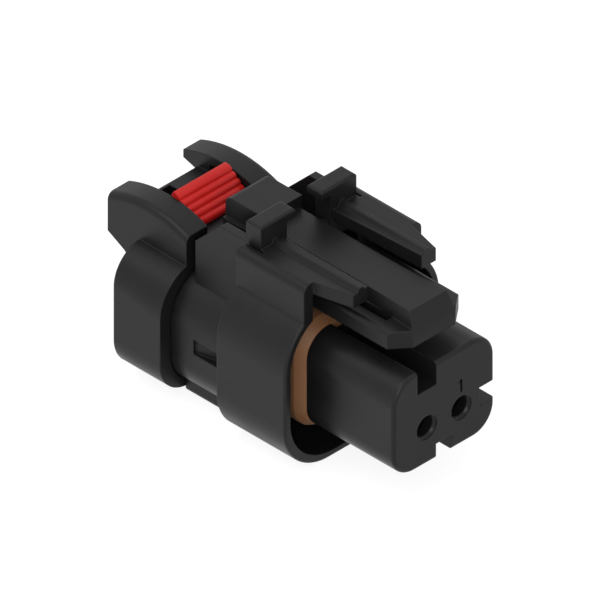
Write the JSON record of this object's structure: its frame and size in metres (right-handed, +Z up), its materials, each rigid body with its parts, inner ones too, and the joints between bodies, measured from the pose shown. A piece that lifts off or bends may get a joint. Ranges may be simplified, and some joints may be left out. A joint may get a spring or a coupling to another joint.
{
  "type": "connector housing",
  "caption": "Sealed rectangular plug housing with a keyed nose, ring seal, rocking top latch and a ribbed sliding latch lock.",
  "frame": {"origin": "middle of the nose's front face, level with the pin entries", "axes": "+X is the mating direction, out of the front face; +Z is up, towards the latch; +Y is across, to the side with the numeral"},
  "size_m": [0.0427, 0.023, 0.0265],
  "materials": {
    "housing_plastic": "moulded black, satin",
    "retainer_plastic": "moulded black, satin",
    "latch_plastic": "moulded black, satin",
    "cover_plastic": "moulded black, satin",
    "lock_plastic": "moulded red, semi-gloss",
    "ring_rubber": "brown silicone rubber",
    "wire_rubber": "brown silicone rubber"
  },
  "bodies": {
    "main": {"housing": "housing_plastic", "ring_seal": "ring_rubber", "wire_seal": "wire_rubber", "rear_cover": "cover_plastic"},
    "retainer": {"front_retainer": "retainer_plastic"},
    "latch": {"latch_lever": "latch_plastic"},
    "lock": {"lock_slider": "lock_plastic"}
  },
  "joints": [
    {"name": "latch_press", "type": "hinge", "parent": "main", "child": "latch", "pos_m": [-0.02082, 0, 0.01293], "axis": [0, -1, 0], "range_deg": [0, 5.5], "stiffness_Nm_per_rad": 0.3},
    {"name": "lock_slide", "type": "slide", "parent": "main", "child": "lock", "axis": [1, 0, 0], "range_m": [0, 0.003]},
    {"name": "retainer_slide", "type": "slide", "parent": "main", "child": "retainer", "axis": [1, 0, 0], "range_m": [0, 0.0015]}
  ]
}
